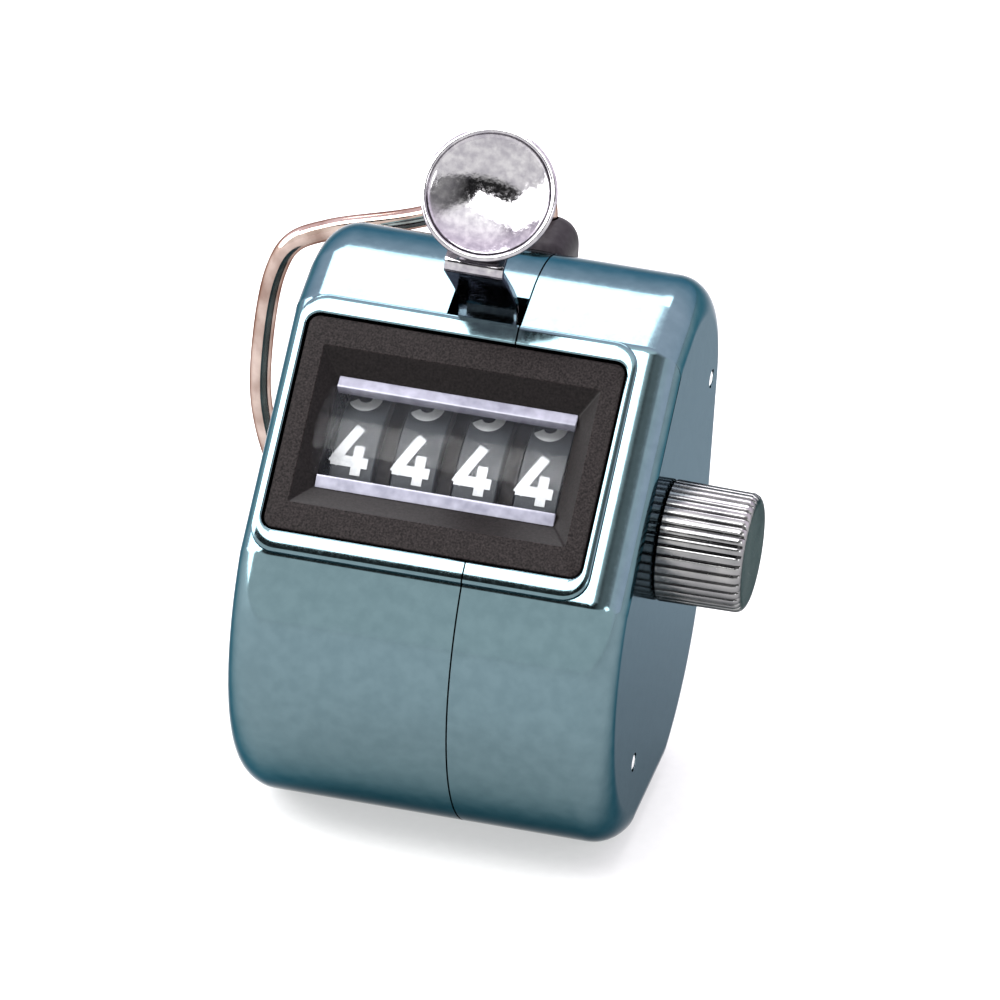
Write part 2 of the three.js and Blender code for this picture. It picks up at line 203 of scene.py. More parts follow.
def rounded_ends(rings, points, radius):
    """Adds shrinking rings so that a wire ends in a small dome."""
    def dome(ring, centre, outward):
        extra = []
        for share in (0.35, 0.7, 0.92):
            lift = radius * 0.45 * share
            scale = math.sqrt(1 - share ** 2)
            extra.append([centre + outward * lift + (np.array(p) - centre) * scale for p in ring])
        return extra

    first = (points[0] - points[1]) / np.linalg.norm(points[0] - points[1])
    last = (points[-1] - points[-2]) / np.linalg.norm(points[-1] - points[-2])
    return dome(rings[0], points[0], first)[::-1] + rings + dome(rings[-1], points[-1], last)


def smooth_line(points, per_span=10):
    """A centripetal-like smooth line through points (Catmull-Rom)."""
    p = [np.array(q, float) for q in points]
    p = [2 * p[0] - p[1]] + p + [2 * p[-1] - p[-2]]
    line = []
    for i in range(1, len(p) - 2):
        knots = [0.0]
        for a, b in zip(p[i - 1:i + 2], p[i:i + 3]):
            knots.append(knots[-1] + math.sqrt(max(np.linalg.norm(b - a), 1e-9)))
        for step in range(per_span):
            t = knots[1] + (knots[2] - knots[1]) * step / per_span
            line.append(catmull_point(p[i - 1:i + 3], knots, t))
    line.append(p[-2])
    return line


def catmull_point(p, knots, t):
    def mix(a, b, ta, tb):
        return (tb - t) / (tb - ta) * a + (t - ta) / (tb - ta) * b

    a1 = mix(p[0], p[1], knots[0], knots[1])
    a2 = mix(p[1], p[2], knots[1], knots[2])
    a3 = mix(p[2], p[3], knots[2], knots[3])
    b1 = mix(a1, a2, knots[0], knots[2])
    b2 = mix(a2, a3, knots[1], knots[3])
    return mix(b1, b2, knots[1], knots[2])


def cut(obj, *tools):
    """Cuts closed tool objects out of obj and deletes them."""
    for tool in tools:
        modifier = obj.modifiers.new("cut", "BOOLEAN")
        modifier.operation = "DIFFERENCE"
        modifier.solver = "EXACT"
        modifier.object = tool
        apply_modifiers(obj)
        bpy.data.objects.remove(tool)
    return obj


def apply_modifiers(obj):
    depsgraph = bpy.context.evaluated_depsgraph_get()
    mesh = bpy.data.meshes.new_from_object(obj.evaluated_get(depsgraph))
    obj.modifiers.clear()
    obj.data = mesh


def bevel(obj, width, segments=3, angle=30):
    """Rounds an object's sharp edges."""
    modifier = obj.modifiers.new("bevel", "BEVEL")
    modifier.width = width
    modifier.segments = segments
    modifier.limit_method = "ANGLE"
    modifier.angle_limit = math.radians(angle)
    modifier.harden_normals = False
    apply_modifiers(obj)
    clean(obj, 40)
    return obj


def box_object(name, low, high, material=None):
    corners = [(x, y, z) for x in (low[0], high[0]) for y in (low[1], high[1]) for z in (low[2], high[2])]
    faces = [(0, 1, 3, 2), (4, 6, 7, 5), (0, 4, 5, 1), (2, 3, 7, 6), (0, 2, 6, 4), (1, 5, 7, 3)]
    return make_object(name, corners, faces, material)


def rounded_rectangle(size, centre, radius, steps=8):
    w, h = size[0] / 2 - radius, size[1] / 2 - radius
    points = []
    for i, (x, y) in enumerate(((w, h), (-w, h), (-w, -h), (w, -h))):
        points += arc((centre[0] + x, centre[1] + y), radius, i * math.pi / 2, (i + 1) * math.pi / 2, steps)
    return points


def window_ring(size, centre, radius, out, steps=8):
    return [from_window(x, up, out) for x, up in rounded_rectangle(size, centre, radius, steps)]


def extrude_x(name, outline, start, end, material, sharp=30):
    """A prism along X over a y-z outline."""
    rings = [[(x, y, z) for y, z in outline] for x in (start, end)]
    return loft(name, rings, material, sharp=sharp)


def settle(obj, body, slot, *nodes):
    """Puts a finished piece on its body and hides the CAD nodes it stands for; slot is not used."""
    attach(obj, body)
    if nodes:
        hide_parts(*nodes)
    return obj


# ---------------------------------------------------------------- materials


def principled(name, color, metallic, roughness):
    material = bpy.data.materials.new(name)
    material.use_nodes = True
    shader = material.node_tree.nodes["Principled BSDF"]
    shader.inputs["Base Color"].default_value = (*color, 1)
    shader.inputs["Metallic"].default_value = metallic
    shader.inputs["Roughness"].default_value = roughness
    return material, material.node_tree, shader


def noise(tree, scale, detail=2.0, stretch=(1, 1, 1)):
    """Noise over the object's own coordinates; scale is cells per metre."""
    place = tree.nodes.new("ShaderNodeTexCoord")
    mapping = tree.nodes.new("ShaderNodeMapping")
    mapping.inputs["Scale"].default_value = stretch
    texture = tree.nodes.new("ShaderNodeTexNoise")
    texture.inputs["Scale"].default_value = scale
    texture.inputs["Detail"].default_value = detail
    tree.links.new(place.outputs["Object"], mapping.inputs["Vector"])
    tree.links.new(mapping.outputs["Vector"], texture.inputs["Vector"])
    return texture.outputs["Fac"]


def ramp(tree, value, low, high, in_low=0.3, in_high=0.7):
    """Maps a value to a range, or between two colours."""
    if isinstance(low, tuple):
        node = tree.nodes.new("ShaderNodeValToRGB")
        node.color_ramp.elements[0].position = in_low
        node.color_ramp.elements[1].position = in_high
        node.color_ramp.elements[0].color = (*low, 1)
        node.color_ramp.elements[1].color = (*high, 1)
        tree.links.new(value, node.inputs["Fac"])
        return node.outputs["Color"]
    node = tree.nodes.new("ShaderNodeMapRange")
    node.inputs["From Min"].default_value = in_low
    node.inputs["From Max"].default_value = in_high
    node.inputs["To Min"].default_value = low
    node.inputs["To Max"].default_value = high
    tree.links.new(value, node.inputs["Value"])
    return node.outputs["Result"]


def math_node(tree, operation, first, second=None):
    node = tree.nodes.new("ShaderNodeMath")
    node.operation = operation
    tree.links.new(first, node.inputs[0])
    if isinstance(second, float):
        node.inputs[1].default_value = second
    elif second:
        tree.links.new(second, node.inputs[1])
    return node.outputs[0]


def bump(tree, shader, height, strength, distance):
    node = tree.nodes.new("ShaderNodeBump")
    node.inputs["Strength"].default_value = strength
    node.inputs["Distance"].default_value = distance
    tree.links.new(height, node.inputs["Height"])
    tree.links.new(node.outputs["Normal"], shader.inputs["Normal"])


def blend_colors(tree, factor, first, second):
    """Mixes two colours or colour outputs."""
    mix = tree.nodes.new("ShaderNodeMix")
    mix.data_type = "RGBA"
    tree.links.new(factor, mix.inputs["Factor"])
    for name, value in (("A", first), ("B", second)):
        if isinstance(value, tuple):
            mix.inputs[name].default_value = (*value, 1)
        else:
            tree.links.new(value, mix.inputs[name])
    return mix.outputs["Result"]


SPECK_SCALE = 2400  # pits in plated metal, per metre
SPECK_DEPTH = 0.02 * MM
GRAIN_DEPTH = 0.06 * MM
ACRYLIC_IOR = 1.49


def plated(name, dark, light, rough, wear_scale=260, ripple=0.06, edge=(1, 1, 1)):
    """Plated metal: slow colour drift, fine pitting and uneven polish.

    edge is the tint of what it reflects at a glancing angle.
    """
    material, tree, shader = principled(name, light, 1.0, rough[0])
    shader.inputs["Specular Tint"].default_value = (*edge, 1)
    drift = noise(tree, wear_scale, 6)
    tree.links.new(ramp(tree, drift, dark, light, 0.35, 0.65), shader.inputs["Base Color"])
    specks = noise(tree, SPECK_SCALE, 2)
    tree.links.new(ramp(tree, specks, rough[0], rough[1], 0.45, 0.8), shader.inputs["Roughness"])
    bump(tree, shader, specks, ripple, SPECK_DEPTH)
    return material


def moulded(name, dark, light, rough, grain=5200, depth=0.35, gloss=0.5):
    """Moulded plastic with a fine grain."""
    material, tree, shader = principled(name, light, 0.0, rough)
    shader.inputs["Specular IOR Level"].default_value = gloss
    grains = noise(tree, grain, 2)
    tree.links.new(ramp(tree, grains, dark, light, 0.3, 0.75), shader.inputs["Base Color"])
    bump(tree, shader, grains, depth, GRAIN_DEPTH)
    return material


# metals: darkest and lightest colour, range of roughness
case_chrome = plated("case_chrome", (0.091, 0.14, 0.156), (0.104, 0.157, 0.174), (0.11, 0.17),
                     wear_scale=700, edge=(0.28, 0.33, 0.365))
lever_chrome = plated("lever_chrome", (0.24, 0.23, 0.25), (0.36, 0.35, 0.36), (0.08, 0.22),
                      wear_scale=1200, ripple=0.5, edge=(0.3, 0.28, 0.32))
ring_nickel = plated("ring_nickel", (0.22, 0.155, 0.13), (0.42, 0.34, 0.3), (0.06, 0.12),
                     edge=(0.2, 0.12, 0.1))
knob_nickel = plated("knob_nickel", (0.17, 0.17, 0.173), (0.26, 0.257, 0.254), (0.18, 0.3),
                     ripple=0.15, edge=(0.13, 0.165, 0.165))
pin_steel = plated("pin_steel", (0.7, 0.7, 0.7), (0.85, 0.85, 0.85), (0.1, 0.2))
steel = plated("steel_parts", (0.42, 0.42, 0.41), (0.55, 0.55, 0.53), (0.25, 0.4))
brass = plated("brass_parts", (0.48, 0.33, 0.13), (0.6, 0.44, 0.2), (0.22, 0.35))

# plastics: darkest and lightest colour, roughness
window_plastic = moulded("window_plastic", (0.002, 0.0015, 0.0015), (0.018, 0.0145, 0.0145), 0.5,
                         grain=5000, depth=0.6, gloss=0.05)
# recess walls: smoother than the face, and darker as a painted shade in the recess
recess_shaded_plastic = moulded("recess_shaded_plastic", (0.002, 0.0015, 0.0015), (0.008, 0.0065, 0.0065), 0.35,
                         grain=4200, depth=0.1, gloss=0.08)
lug_plastic = moulded("lug_plastic", (0.006, 0.0045, 0.006), (0.013, 0.011, 0.013), 0.45,
                      grain=1800, depth=0.15, gloss=0.06)
wheel_plastic = moulded("wheel_plastic", (0.017, 0.0195, 0.023), (0.027, 0.031, 0.036), 0.45,
                        grain=1500, depth=0.1, gloss=0.3)
gear_plastic = moulded("gear_plastic", (0.01, 0.008, 0.0075), (0.025, 0.021, 0.019), 0.5,
                       grain=1500, depth=0.1, gloss=0.15)
digit_paint = moulded("digit_paint", (0.43, 0.45, 0.46), (0.52, 0.53, 0.54), 0.45,
                      grain=3000, depth=0.1, gloss=0.3)


def lens_plastic():
    """Clear plastic with a faint haze."""
    material, tree, shader = principled("lens_clear", (0.05, 0.053, 0.062), 0.0, 0.06)
    tree.links.new(ramp(tree, noise(tree, 500, 2), 0.04, 0.12), shader.inputs["Alpha"])
    shader.inputs["IOR"].default_value = ACRYLIC_IOR
    return material


lens_clear = lens_plastic()
lens_edge = moulded("lens_edge", (0.15, 0.15, 0.19), (0.23, 0.23, 0.28), 0.18, grain=900, depth=0.05)

# ---------------------------------------------------------------- case


def inset(points, distance):
    """Moves each side of an outline, listed counterclockwise, inwards."""
    moved = []
    for i, p in enumerate(points):
        before, after = points[i - 1], points[(i + 1) % len(points)]
        a = math.atan2(p[1] - before[1], p[0] - before[0])
        b = math.atan2(after[1] - p[1], after[0] - p[0])
        turn = math.atan2(math.sin(b - a), math.cos(b - a))
        moved.append(polar(p, distance / math.cos(turn / 2), a + turn / 2 + math.pi / 2))
    return moved


def bend(start, corner, end, steps=8):
    """A round corner between two points, pulled towards the corner."""
    points = []
    for i in range(steps + 1):
        t = i / steps
        points.append((1 - t) ** 2 * start + 2 * t * (1 - t) * corner + t ** 2 * end)
    return points


def case_outline():
    """The side view of the case in y, z: drum, flat base, round top rear corner, sloping window face."""
    centre = (0, DRUM_Z)
    base = -math.asin(DRUM_Z / DRUM_RADIUS)
    foot_angle = FACE_ANGLE + math.acos(FACET_LEVEL / DRUM_RADIUS)
    head = from_window(0, RIM_CENTRE[1] + RIM_SIZE[1] / 2 - 0.3 * MM, RIM_FACE - 0.3 * MM)[1:]
    foot = polar(centre, DRUM_RADIUS, foot_angle)
    corner_end = polar(CORNER_CENTRE, CORNER_RADIUS, 1.75)
    to_head = (head - corner_end) / np.linalg.norm(head - corner_end)
    to_foot = (foot - head) / np.linalg.norm(foot - head)
    roll = 0.4 * MM
    roll_end = foot_angle + roll / DRUM_RADIUS
    return (
        arc(centre, DRUM_RADIUS, base, 0, 20)
        + arc(CORNER_CENTRE, CORNER_RADIUS, 0, 1.75, 28)
        + bend(head - to_head * roll, head, head + to_foot * roll)
        + bend(foot - to_foot * roll, foot, polar(centre, DRUM_RADIUS, roll_end))
        + arc(centre, DRUM_RADIUS, roll_end + 0.05, math.pi - base, 36)
    )


def case_block(name, margin, steps=10):
    """The case's outer form, or with a margin the same form a little smaller all round."""
    outline = case_outline()
    fillet = 3.5 * MM - margin
    half = CASE_HALF - margin
    rings = []
    for i in range(steps + 1):
        a = math.pi / 2 * i / steps
        ring = inset(outline, margin + fillet * (1 - math.sin(a)))
        rings.append([(-half + fillet * (1 - math.cos(a)), y, z) for y, z in ring])
    mirrored = [[(-x, y, z) for x, y, z in ring] for ring in reversed(rings)]
    return loft(name, rings + mirrored, case_chrome)


# the rim's outer edge, in millimetres: distance in from the edge, and drop below its face
RIM_CROWN = (
    (0, 0.62), (0.015, 0.36), (0.05, 0.24), (0.12, 0.15), (0.2, 0.11), (0.3, 0.07),
    (0.4, 0.037), (0.5, 0.012), (0.6, 0),
)
BOTTOM_CROWN = 0.8  # how much further in the same edge reaches along the bottom


def rim_frame():
    """The raised frame round the window: it falls away gently towards its outer edge."""
    hole = [v + 0.4 * MM for v in BEZEL_SIZE]
    low = FACET_LEVEL - 1.4 * MM
    rings = [window_ring(RIM_SIZE, RIM_CENTRE, RIM_CORNER, low)]
    for inwards, drop in RIM_CROWN:
        step, extra = inwards * MM, BOTTOM_CROWN * inwards * MM
        size = (RIM_SIZE[0] - 2 * step, RIM_SIZE[1] - 2 * step - extra)
        centre = (RIM_CENTRE[0], RIM_CENTRE[1] + extra / 2)
        rings.append(window_ring(size, centre, RIM_CORNER - step, RIM_FACE - drop * MM))
    edge = 0.2 * MM
    for i in range(4):
        a = math.pi / 2 * i / 3
        grow = edge * (1 - math.sin(a))
        size = [v + 2 * grow for v in hole]
        rings.append(window_ring(size, BEZEL_CENTRE, 1.3 * MM + grow, RIM_FACE - edge * (1 - math.cos(a))))
    rings.append(window_ring(hole, BEZEL_CENTRE, 1.3 * MM, low))
    return loft("rim", rings, case_chrome, loop=True)


def window_plug(name, size, centre, corner, low, high):
    return loft(name, [window_ring(size, centre, corner, out) for out in (low, high)], None)


def half_space(name, side):
    """A big box on one side of the seam (-1 left, 1 right)."""
    seam_half = 0.08 * MM
    near = SEAM_X + side * -seam_half
    far = side * 60 * MM
    return box_object(name, (min(near, far), -60 * MM, -60 * MM), (max(near, far), 60 * MM, 90 * MM))


def merge_objects(name, *objects):
    """Joins objects into one, as separate shells of the same mesh."""
    b = bmesh.new()
    for obj in objects:
        b.from_mesh(obj.data)
    mesh = bpy.data.meshes.new(name)
    b.to_mesh(mesh)
    b.free()
    for material in objects[0].data.materials:
        mesh.materials.append(material)
    for obj in objects:
        bpy.data.objects.remove(obj)
    joined = bpy.data.objects.new(name, mesh)
    bpy.context.scene.collection.objects.link(joined)
    return joined


def flatten_normals(obj, sharp=35):
    """Keeps large faces flat next to rounded edges."""
    clean(obj, sharp)
    modifier = obj.modifiers.new("normals", "WEIGHTED_NORMAL")
    modifier.keep_sharp = True
    apply_modifiers(obj)
    return obj


def case_shells():
    pins = [(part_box("case_pin_" + n)[0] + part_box("case_pin_" + n)[1]) / 2 for n in ("upper", "lower")]
    slot_left = span("thumb_lever", 0)[0] - 0.9 * MM
    for name, other in (("left_shell", 1), ("right_shell", -1)):
        block = case_block(name + "_block", 0)
        inside = case_block("inside", WALL)
        window = window_plug("window", [v + 0.4 * MM for v in BEZEL_SIZE], BEZEL_CENTRE, 1.3 * MM,
                             FACET_LEVEL - 6 * MM, RIM_FACE + MM)
        tools = [inside, window]
        for pin in pins:
            tools.append(lathe_x("pin_hole", (pin.y, pin.z), [(-25 * MM, 0.95 * MM), (25 * MM, 0.95 * MM)],
                                 None, 24))
        bush = (WHEEL_AXIS[0], WHEEL_AXIS[1])
        tools.append(lathe_x("bush_hole", bush, [(15 * MM, 2.5 * MM), (25 * MM, 2.5 * MM)], None, 32))
        if name == "left_shell":
            tools.append(box_object("slot", (slot_left, 0.1 * MM, DRUM_Z + 26 * MM),
                                    (SEAM_X + MM, 4.6 * MM, DRUM_Z + 34 * MM)))
        tools.append(half_space("far_side", other))
        cut(block, *tools)
        rim = cut(rim_frame(), half_space("far_side", other))
        shell = flatten_normals(merge_objects(name + "_plated", block, rim))
        settle(shell, "case", "case_chrome", name)


def case_pins():
    for name in ("case_pin_upper", "case_pin_lower"):
        low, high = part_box(name)
        r = 0.8 * MM
        centre = ((low.y + high.y) / 2, (low.z + high.z) / 2)
        tip = [(high.x - 0.25 * MM, r), (high.x - 0.1 * MM, r * 0.9), (high.x, r * 0.55)]
        tip.append((high.x + 0.03 * MM, 0))
        back = [(-x, radius) for x, radius in reversed(tip)]
        pin = lathe_x(name + "_turned", centre, back + tip, pin_steel, 24)
        settle(pin, "case", "steel_parts", name)


# ---------------------------------------------------------------- window


def window_bezel():
    face = RIM_FACE - 0.2 * MM
    back = face - 1.6 * MM
    throat = face - RECESS_DEPTH
    bottom = face - TUNNEL_DEPTH
    roll = 0.25 * MM
    rings = [
        window_ring(BEZEL_SIZE, BEZEL_CENTRE, 1.1 * MM, back),
        window_ring(BEZEL_SIZE, BEZEL_CENTRE, 1.1 * MM, face - roll),
        window_ring([v - 0.6 * roll for v in BEZEL_SIZE], BEZEL_CENTRE, MM, face - 0.3 * roll),
        window_ring([v - 2 * roll for v in BEZEL_SIZE], BEZEL_CENTRE, 0.9 * MM, face),
        window_ring([v + 0.16 * MM for v in OPENING_SIZE], BEZEL_CENTRE, 0.3 * MM, face),
        window_ring(OPENING_SIZE, BEZEL_CENTRE, 0.25 * MM, face - 0.08 * MM),
        window_ring(THROAT_SIZE, BEZEL_CENTRE, 0.2 * MM, throat),
        window_ring(THROAT_SIZE, BEZEL_CENTRE, 0.2 * MM, bottom),
        window_ring(OPENING_SIZE, BEZEL_CENTRE, 0.8 * MM, bottom),
        window_ring(OPENING_SIZE, BEZEL_CENTRE, 0.8 * MM, back),
    ]
    bezel = flatten_normals(loft("window_bezel_moulded", rings, window_plastic, loop=True))
    # the walls of the recess are smoother than the face, and darker as a painted shade in the recess
    bezel.data.materials.append(recess_shaded_plastic)
    for polygon in bezel.data.polygons:
        up, out = to_window(polygon.center)
        across = abs(polygon.center.x - BEZEL_CENTRE[0])
        in_recess = across < OPENING_SIZE[0] / 2 and abs(up - BEZEL_CENTRE[1]) < OPENING_SIZE[1] / 2
        if in_recess and out < face - 0.1 * MM:
            polygon.material_index = 1
    settle(bezel, "case", "window_plastic", "window_bezel")


def lens_strip(name, start, end, thickness, x_range, material, rise=0.0):
    """Part of the bent lens between two angles from the window's normal."""
    centre = from_window(0, BEZEL_CENTRE[1], LENS_APEX - LENS_RADIUS)[1:]
    steps = max(4, int(abs(end - start) * 60))
    outer = arc(centre, LENS_RADIUS + rise, FACE_ANGLE + start, FACE_ANGLE + end, steps)
    inner = arc(centre, LENS_RADIUS - thickness, FACE_ANGLE + end, FACE_ANGLE + start, steps)
    return extrude_x(name, outer + inner, x_range[0], x_range[1], material, 35)


def window_lens():
    """The clear strip and the thick rails along its two long edges. Its ends run into the bezel's walls."""
    half = THROAT_SIZE[0] / 2
    x_range = (BEZEL_CENTRE[0] - half - MM, BEZEL_CENTRE[0] + half)
    rail_range = (BEZEL_CENTRE[0] - half, BEZEL_CENTRE[0] + half)
    rail = 0.245
    edge = 0.315
    lens = lens_strip("window_lens_clear", -rail, rail, 0.8 * MM, x_range, lens_clear)
    settle(lens, "case", "lens_clear", "window_lens")
    for name, start, end in (("upper", -edge, -rail), ("lower", rail, edge)):
        strip_edge = lens_strip("lens_rail_" + name, start, end, 1.1 * MM, rail_range, lens_edge, 0.12 * MM)
        settle(bevel(strip_edge, 0.12 * MM, 2, 50), "case", "lens_clear")


# ---------------------------------------------------------------- number wheels

STROKE = 0.98 * MM
DIGIT_STRETCH = 1.06  # height of a digit against its drawing
DIGIT_SHIFT = -0.4 * MM  # the digits stand a little left of the middle of their wheels


def bow(centre, radius, start, end, steps=14, tall=1.0):
    """An arc of a digit's stroke, in millimetres and degrees."""
    points = []
    for i in range(steps + 1):
        a = math.radians(start + (end - start) * i / steps)
        points.append((centre[0] + radius * math.cos(a), centre[1] + radius * tall * math.sin(a)))
    return points


def digit_strokes():
    """Centre lines of the ten digits: a list of (points, closed) for each, in millimetres."""
    six_loop = bow((0, -0.9), 1.1, 90, 450, 24)[:-1]
    six_tail = [(0.75, 2.05)] + bow((0.9, -0.7), 2.0, 120, 178, 8, 1.2)
    turned = [[(-x, -y) for x, y in line] for line in (six_loop, six_tail)]
    return {
        0: [(bow((0, 0), 1.1, 0, 360, 32, 1.86)[:-1], True)],
        1: [([(-0.65, 1.35), (0.25, 2.05), (0.25, -2.05)], False)],
        2: [(bow((0, 0.95), 1.1, 165, -25) + [(-1.1, -2.05), (1.25, -2.05)], False)],
        3: [(bow((-0.05, 1.0), 1.05, 150, -80) + bow((-0.05, -0.95), 1.15, 80, -150), False)],
        4: [([(0.45, 2.3), (-1.35, -1.1), (1.85, -1.1)], False), ([(0.8, 0.45), (0.8, -2.3)], False)],
        5: [([(1.1, 2.05), (-0.8, 2.05), (-0.95, 0.2)] + bow((-0.05, -0.8), 1.2, 115, -150), False)],
        6: [(six_loop, True), (six_tail, False)],
        7: [([(-1.15, 2.05), (1.1, 2.05), (-0.35, -2.1)], False)],
        8: [(bow((0, 1.05), 0.95, 0, 360, 24)[:-1], True), (bow((0, -0.95), 1.1, 0, 360, 24)[:-1], True)],
        9: [(turned[0], True), (turned[1], False)],
    }


def refine(points, closed, longest=0.25):
    """Splits long sides so that a stroke can follow the wheel's curve."""
    line = []
    pairs = list(zip(points, points[1:] + points[:1] if closed else points[1:]))
    for a, b in pairs:
        count = max(1, math.ceil(math.dist(a, b) / longest))
        line += [(a[0] + (b[0] - a[0]) * i / count, a[1] + (b[1] - a[1]) * i / count) for i in range(count)]
    return line if closed else line + [points[-1]]


def split_at_corners(points, sharpest=40):
    """Cuts a line of points at its sharp corners and lengthens the parts there, so that they meet fully."""
    parts, part = [], [points[0]]
    for before, p, after in zip(points, points[1:], points[2:]):
        a = math.atan2(p[1] - before[1], p[0] - before[0])
        b = math.atan2(after[1] - p[1], after[0] - p[0])
        turn = abs(math.atan2(math.sin(b - a), math.cos(b - a)))
        extra = 0.4 * STROKE / MM
        if turn > math.radians(sharpest):
            parts.append(part + [(p[0] + extra * math.cos(a), p[1] + extra * math.sin(a))])
            part = [(p[0] - extra * math.cos(b), p[1] - extra * math.sin(b))]
        else:
            part.append(p)
    parts.append(part + [points[-1]])
    return parts


def stroke_faces(points, closed, place, vertices, faces):
    """Adds one raised stroke: left and right edges at the top, and the same edges sunk in the wheel."""
    points = refine(points, closed)
    count = len(points)
    first = len(vertices)
    half = STROKE / MM / 2
    for i, p in enumerate(points):
        before = points[i - 1] if closed or i else p
        after = points[(i + 1) % count] if closed or i < count - 1 else p
        side = math.atan2(after[1] - before[1], after[0] - before[0]) + math.pi / 2
        dx, dy = half * math.cos(side), half * math.sin(side)
        for top in (True, False):
            vertices.append(place(p[0] + dx, p[1] + dy, top))
            vertices.append(place(p[0] - dx, p[1] - dy, top))
    for i in range(count if closed else count - 1):
        a, b = first + 4 * i, first + 4 * ((i + 1) % count)
        faces += [(a, a + 1, b + 1, b), (a + 1, a + 3, b + 3, b + 1), (a + 3, a + 2, b + 2, b + 3),
                  (a + 2, a, b, b + 2)]
    if not closed:
        last = first + 4 * (count - 1)
        faces += [(first, first + 2, first + 3, first + 1), (last, last + 1, last + 3, last + 2)]


def digits(name, x, shown=4):
    """Ten raised digits round a wheel; the shown one faces out of the window."""
    vertices, faces = [], []
    for digit, strokes in digit_strokes().items():
        centre = FACE_ANGLE + (digit - shown) * TURN / 10

        lines = []
        for points, closed in strokes:
            lines += [(points, True)] if closed else [(part, False) for part in split_at_corners(points)]
        for layer, (points, closed) in enumerate(lines):
            def place(u, v, top, centre=centre, layer=layer):
                radius = WHEEL_RADIUS + ((0.04 + 0.01 * layer) * MM if top else -0.1 * MM)
                y, z = polar(WHEEL_AXIS, radius, centre - DIGIT_STRETCH * v * MM / WHEEL_RADIUS)
                return (x + DIGIT_SHIFT + u * MM, y, z)

            stroke_faces(points, closed, place, vertices, faces)
    return make_object(name, vertices, faces, digit_paint, 40)


def number_wheels():
    for body in ("units", "tens", "hundreds", "thousands"):
        node = "number_wheel_" + body
        low, high = span(node, 0)
        x = low + DIGIT_BAND / 2
        edge = 0.12 * MM
        bore = 1.55 * MM
        half = DIGIT_BAND / 2
        profile = [(x - half, bore), (x - half, WHEEL_RADIUS - edge), (x - half + edge, WHEEL_RADIUS),
                   (x + half - edge, WHEEL_RADIUS), (x + half, WHEEL_RADIUS - edge)]
        if high - low > 1.05 * DIGIT_BAND:
            profile += [(x + half, GEAR_RADIUS), (high, GEAR_RADIUS), (high, bore)]
        else:
            profile += [(x + half, bore)]
        wheel = lathe_x(node + "_moulded", WHEEL_AXIS, profile, wheel_plastic, 96, 30, loop=True)
        wheel.data.materials.append(gear_plastic)
        for polygon in wheel.data.polygons:
            if polygon.center.x > x + half - 0.01 * MM:
                polygon.material_index = 1
        settle(wheel, body + "_wheel", "wheel_plastic", node)
        settle(digits("digits_" + body, x), body + "_wheel", "wheel_plastic")


# ---------------------------------------------------------------- lever, knob, ring


def strip(name, line, thickness, x_range, material, round_edge=0.18 * MM):
    """Sheet metal along a line in the y-z plane, with rounded edges."""
    line = [np.array(p) for p in line]
    sides = {1: [], -1: []}
    for i, p in enumerate(line):
        along = line[min(i + 1, len(line) - 1)] - line[max(i - 1, 0)]
        along /= np.linalg.norm(along)
        across = np.array([-along[1], along[0]])
        for sign in sides:
            sides[sign].append(p + across * sign * thickness / 2)
    outline = sides[-1] + sides[1][::-1]
    sheet = extrude_x(name, outline, x_range[0], x_range[1], material)
    return bevel(sheet, round_edge, 2, 50)


def drum_point(y, z):
    """A y-z point in millimetres from the drum's axis."""
    return np.array([y * MM, DRUM_Z + z * MM])


def thumb_lever():
    left, right = span("thumb_lever", 0)[0], span("lever_return_spring", 0)[0] - 0.6 * MM
    sheet = 0.8 * MM
    neck_points = [
        (1.9, 26.9), (2.4, 29.2), (1.9, 31), (-4.4, 37.2), (-5.05, 37.85), (-4.9, 38.35),
        (-4, 38.9), (-3, 39.5), (-2, 40.6), (-0.9, 42), (-0.5, 42.5),
    ]
    neck_line = smooth_line([drum_point(*p) for p in neck_points], 6)
    neck = strip("neck", neck_line, sheet, (left, right), lever_chrome)
    arm_points = [(1.2, 27.2), (5, 26.6), (10.4, 23.6)]
    arm_line = smooth_line([drum_point(*p) for p in arm_points], 6)
    arm = strip("arm", arm_line, sheet, (left, right), lever_chrome)
    wing_end = span("thumb_lever", 0)[1]
    wing_line = [drum_point(7.6, 25.2), drum_point(10.4, 23.6)]
    wing = strip("wing", wing_line, sheet, (left, wing_end), lever_chrome)
    parts = [neck, arm, wing]
    for i, x in enumerate((left, right - 0.8 * MM)):
        profile = [(x, 1.15 * MM), (x, 2 * MM), (x + 0.8 * MM, 2 * MM), (x + 0.8 * MM, 1.15 * MM)]
        ear = lathe_x("ear" + str(i), LEVER_PIVOT, profile, lever_chrome, 40, loop=True)
        low = (x, LEVER_PIVOT[0] - 1.2 * MM, LEVER_PIVOT[1] + 1.3 * MM)
        high = (x + 0.8 * MM, LEVER_PIVOT[0] + 1.2 * MM, LEVER_PIVOT[1] + 2.2 * MM)
        parts += [ear, box_object("web" + str(i), low, high, lever_chrome)]
    inner = wing_end - 0.8 * MM
    profile = [(inner, 0.9 * MM), (inner, 1.5 * MM), (wing_end, 1.5 * MM), (wing_end, 0.9 * MM)]
    pawl_ear = lathe_x("pawl_ear", PAWL_PIVOT, profile, lever_chrome, 32, loop=True)
    lever = merge_objects("thumb_lever_pressed", *parts, pawl_ear)
    clean(lever, 35)
    settle(lever, "lever", "lever_chrome", "thumb_lever")
    thumb_button((left + right) / 2 + 0.3 * MM)


